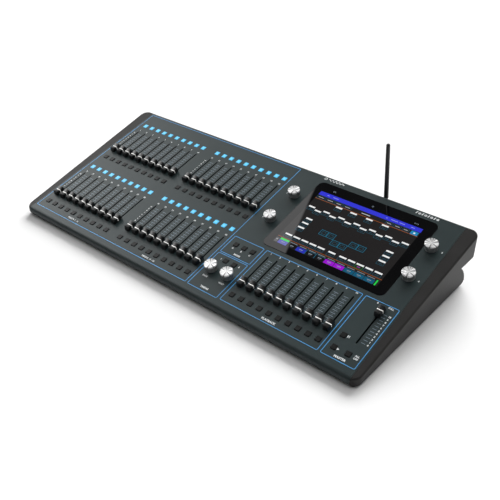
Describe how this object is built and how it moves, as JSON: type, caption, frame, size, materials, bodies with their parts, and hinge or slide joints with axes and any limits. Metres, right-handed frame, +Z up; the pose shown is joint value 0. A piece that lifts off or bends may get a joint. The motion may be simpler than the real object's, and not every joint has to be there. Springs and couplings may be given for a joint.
{
  "type": "lighting control desk",
  "caption": "Sloping lighting control desk with banks of slide faders and buttons, rotary encoders, an inset touch screen, end cheeks and a hinged rear antenna.",
  "frame": {"origin": "on the ground, at the middle of the desk's width and depth, antenna included", "axes": "+X to the operator's right, +Y away from the operator, +Z up"},
  "size_m": [0.8422, 0.3952, 0.2056],
  "materials": {
    "deck_paint": "matt powder coat",
    "case_steel": "matt powder coat",
    "cheek_plastic": "fine texture",
    "screen_glass": "gloss",
    "display": "satin",
    "bracket_steel": "zinc plated",
    "fader_steel": "plated",
    "cap_plastic": "satin",
    "button_rubber": "matt",
    "lens_cyan": "lit lens",
    "switch_plastic": "satin",
    "knob_silver": "turned",
    "board": "solder mask",
    "connector_black": "satin",
    "connector_metal": "plated",
    "brass_gold": "gold plated",
    "antenna_rubber": "satin",
    "rocker_red": "gloss",
    "foot_rubber": "matt",
    "screw_steel": "black zinc"
  },
  "bodies": {
    "desk": {"top_panel": "deck_paint", "rear_panel": "case_steel", "base_tray": "case_steel", "left_cheek": "cheek_plastic", "right_cheek": "cheek_plastic", "screen_glass": "screen_glass", "display_module": "display", "display_frame": "bracket_steel", "fader_bodies": "fader_steel", "button_switches": "switch_plastic", "channel_lights": "lens_cyan", "encoder_bodies": "fader_steel", "control_boards": "board", "main_board": "board", "power_supply": "bracket_steel", "power_inlet": "connector_black", "rocker_frame": "connector_black", "dmx_sockets": "connector_metal", "network_sockets": "connector_metal", "usb_and_video_sockets": "connector_metal", "antenna_socket": "brass_gold", "rubber_feet": "foot_rubber", "case_screws": "screw_steel"},
    "preset_faders_1": {"preset_fader_caps_1": "cap_plastic"},
    "preset_buttons_1": {"preset_buttons_1": "button_rubber"},
    "preset_faders_2": {"preset_fader_caps_2": "cap_plastic"},
    "preset_buttons_2": {"preset_buttons_2": "button_rubber"},
    "preset_faders_3": {"preset_fader_caps_3": "cap_plastic"},
    "preset_buttons_3": {"preset_buttons_3": "button_rubber"},
    "preset_faders_4": {"preset_fader_caps_4": "cap_plastic"},
    "preset_buttons_4": {"preset_buttons_4": "button_rubber"},
    "playback_fader_1": {"playback_fader_cap_1": "cap_plastic"},
    "playback_fader_2": {"playback_fader_cap_2": "cap_plastic"},
    "playback_fader_3": {"playback_fader_cap_3": "cap_plastic"},
    "playback_fader_4": {"playback_fader_cap_4": "cap_plastic"},
    "playback_fader_5": {"playback_fader_cap_5": "cap_plastic"},
    "playback_fader_6": {"playback_fader_cap_6": "cap_plastic"},
    "playback_fader_7": {"playback_fader_cap_7": "cap_plastic"},
    "playback_fader_8": {"playback_fader_cap_8": "cap_plastic"},
    "playback_fader_9": {"playback_fader_cap_9": "cap_plastic"},
    "playback_fader_10": {"playback_fader_cap_10": "cap_plastic"},
    "playback_buttons": {"playback_buttons": "button_rubber"},
    "master_fader": {"master_fader_cap": "cap_plastic"},
    "mode_button_1": {"mode_button_1": "button_rubber"},
    "mode_button_2": {"mode_button_2": "button_rubber"},
    "mode_button_3": {"mode_button_3": "button_rubber"},
    "timing_button_1": {"timing_button_1": "button_rubber"},
    "timing_button_2": {"timing_button_2": "button_rubber"},
    "pause_button": {"pause_button": "button_rubber"},
    "play_button": {"play_button": "button_rubber"},
    "blackout_button": {"blackout_button": "button_rubber"},
    "encoder_1": {"encoder_knob_1": "knob_silver"},
    "encoder_2": {"encoder_knob_2": "knob_silver"},
    "encoder_3": {"encoder_knob_3": "knob_silver"},
    "encoder_4": {"encoder_knob_4": "knob_silver"},
    "encoder_5": {"encoder_knob_5": "knob_silver"},
    "encoder_6": {"encoder_knob_6": "knob_silver"},
    "power_rocker": {"power_rocker": "rocker_red"},
    "antenna_knuckle": {"antenna_knuckle": "antenna_rubber"},
    "antenna_whip": {"antenna_whip": "antenna_rubber"}
  },
  "joints": [
    {"name": "preset_faders_1_slide", "type": "slide", "parent": "desk", "child": "preset_faders_1", "axis": [0, 0.9728, 0.2317], "range_m": [0, 0.066]},
    {"name": "preset_buttons_1_press", "type": "slide", "parent": "desk", "child": "preset_buttons_1", "axis": [0, 0.2317, -0.9728], "range_m": [0, 0.0008], "stiffness_N_per_m": 1500},
    {"name": "preset_faders_2_slide", "type": "slide", "parent": "desk", "child": "preset_faders_2", "axis": [0, 0.9728, 0.2317], "range_m": [0, 0.066]},
    {"name": "preset_buttons_2_press", "type": "slide", "parent": "desk", "child": "preset_buttons_2", "axis": [0, 0.2317, -0.9728], "range_m": [0, 0.0008], "stiffness_N_per_m": 1500},
    {"name": "preset_faders_3_slide", "type": "slide", "parent": "desk", "child": "preset_faders_3", "axis": [0, 0.9728, 0.2317], "range_m": [0, 0.066]},
    {"name": "preset_buttons_3_press", "type": "slide", "parent": "desk", "child": "preset_buttons_3", "axis": [0, 0.2317, -0.9728], "range_m": [0, 0.0008], "stiffness_N_per_m": 1500},
    {"name": "preset_faders_4_slide", "type": "slide", "parent": "desk", "child": "preset_faders_4", "axis": [0, 0.9728, 0.2317], "range_m": [0, 0.066]},
    {"name": "preset_buttons_4_press", "type": "slide", "parent": "desk", "child": "preset_buttons_4", "axis": [0, 0.2317, -0.9728], "range_m": [0, 0.0008], "stiffness_N_per_m": 1500},
    {"name": "playback_fader_1_slide", "type": "slide", "parent": "desk", "child": "playback_fader_1", "axis": [0, 0.9728, 0.2317], "range_m": [0, 0.066]},
    {"name": "playback_fader_2_slide", "type": "slide", "parent": "desk", "child": "playback_fader_2", "axis": [0, 0.9728, 0.2317], "range_m": [0, 0.066]},
    {"name": "playback_fader_3_slide", "type": "slide", "parent": "desk", "child": "playback_fader_3", "axis": [0, 0.9728, 0.2317], "range_m": [0, 0.066]},
    {"name": "playback_fader_4_slide", "type": "slide", "parent": "desk", "child": "playback_fader_4", "axis": [0, 0.9728, 0.2317], "range_m": [0, 0.066]},
    {"name": "playback_fader_5_slide", "type": "slide", "parent": "desk", "child": "playback_fader_5", "axis": [0, 0.9728, 0.2317], "range_m": [0, 0.066]},
    {"name": "playback_fader_6_slide", "type": "slide", "parent": "desk", "child": "playback_fader_6", "axis": [0, 0.9728, 0.2317], "range_m": [0, 0.066]},
    {"name": "playback_fader_7_slide", "type": "slide", "parent": "desk", "child": "playback_fader_7", "axis": [0, 0.9728, 0.2317], "range_m": [0, 0.066]},
    {"name": "playback_fader_8_slide", "type": "slide", "parent": "desk", "child": "playback_fader_8", "axis": [0, 0.9728, 0.2317], "range_m": [0, 0.066]},
    {"name": "playback_fader_9_slide", "type": "slide", "parent": "desk", "child": "playback_fader_9", "axis": [0, 0.9728, 0.2317], "range_m": [0, 0.066]},
    {"name": "playback_fader_10_slide", "type": "slide", "parent": "desk", "child": "playback_fader_10", "axis": [0, 0.9728, 0.2317], "range_m": [0, 0.066]},
    {"name": "playback_buttons_press", "type": "slide", "parent": "desk", "child": "playback_buttons", "axis": [0, 0.2317, -0.9728], "range_m": [0, 0.0008], "stiffness_N_per_m": 1500},
    {"name": "master_fader_slide", "type": "slide", "parent": "desk", "child": "master_fader", "axis": [0, 0.9728, 0.2317], "range_m": [-0.066, 0]},
    {"name": "mode_button_1_press", "type": "slide", "parent": "desk", "child": "mode_button_1", "axis": [0, 0.2317, -0.9728], "range_m": [0, 0.0008], "stiffness_N_per_m": 800},
    {"name": "mode_button_2_press", "type": "slide", "parent": "desk", "child": "mode_button_2", "axis": [0, 0.2317, -0.9728], "range_m": [0, 0.0008], "stiffness_N_per_m": 800},
    {"name": "mode_button_3_press", "type": "slide", "parent": "desk", "child": "mode_button_3", "axis": [0, 0.2317, -0.9728], "range_m": [0, 0.0008], "stiffness_N_per_m": 800},
    {"name": "timing_button_1_press", "type": "slide", "parent": "desk", "child": "timing_button_1", "axis": [0, 0.2317, -0.9728], "range_m": [0, 0.0008], "stiffness_N_per_m": 800},
    {"name": "timing_button_2_press", "type": "slide", "parent": "desk", "child": "timing_button_2", "axis": [0, 0.2317, -0.9728], "range_m": [0, 0.0008], "stiffness_N_per_m": 800},
    {"name": "pause_button_press", "type": "slide", "parent": "desk", "child": "pause_button", "axis": [0, 0.2317, -0.9728], "range_m": [0, 0.0008], "stiffness_N_per_m": 800},
    {"name": "play_button_press", "type": "slide", "parent": "desk", "child": "play_button", "axis": [0, 0.2317, -0.9728], "range_m": [0, 0.0008], "stiffness_N_per_m": 800},
    {"name": "blackout_button_press", "type": "slide", "parent": "desk", "child": "blackout_button", "axis": [0, 0.2317, -0.9728], "range_m": [0, 0.0008], "stiffness_N_per_m": 800},
    {"name": "encoder_1_turn", "type": "hinge", "parent": "desk", "child": "encoder_1", "pos_m": [0.0745, 0.09632, 0.08915], "axis": [0, -0.2317, 0.9728], "continuous": true},
    {"name": "encoder_2_turn", "type": "hinge", "parent": "desk", "child": "encoder_2", "pos_m": [0.0745, 0.02045, 0.07107], "axis": [0, -0.2317, 0.9728], "continuous": true},
    {"name": "encoder_3_turn", "type": "hinge", "parent": "desk", "child": "encoder_3", "pos_m": [0.3675, 0.09632, 0.08915], "axis": [0, -0.2317, 0.9728], "continuous": true},
    {"name": "encoder_4_turn", "type": "hinge", "parent": "desk", "child": "encoder_4", "pos_m": [0.3675, 0.02045, 0.07107], "axis": [0, -0.2317, 0.9728], "continuous": true},
    {"name": "encoder_5_turn", "type": "hinge", "parent": "desk", "child": "encoder_5", "pos_m": [0.0613, -0.13325, 0.03446], "axis": [0, -0.2317, 0.9728], "continuous": true},
    {"name": "encoder_6_turn", "type": "hinge", "parent": "desk", "child": "encoder_6", "pos_m": [0.0993, -0.13325, 0.03446], "axis": [0, -0.2317, 0.9728], "continuous": true},
    {"name": "power_rocker_tip", "type": "hinge", "parent": "desk", "child": "power_rocker", "pos_m": [-0.278, 0.17698, 0.07855], "axis": [1, 0, 0], "range_deg": [0, 18]},
    {"name": "antenna_swivel", "type": "hinge", "parent": "desk", "child": "antenna_knuckle", "pos_m": [0.2225, 0.17906, 0.08275], "axis": [0, 0.9728, 0.2317], "range_deg": [-90, 90]},
    {"name": "antenna_tilt", "type": "hinge", "parent": "antenna_knuckle", "child": "antenna_whip", "pos_m": [0.2225, 0.19268, 0.086], "axis": [0.9962, -0.0202, 0.0848], "range_deg": [-76, 13]}
  ]
}
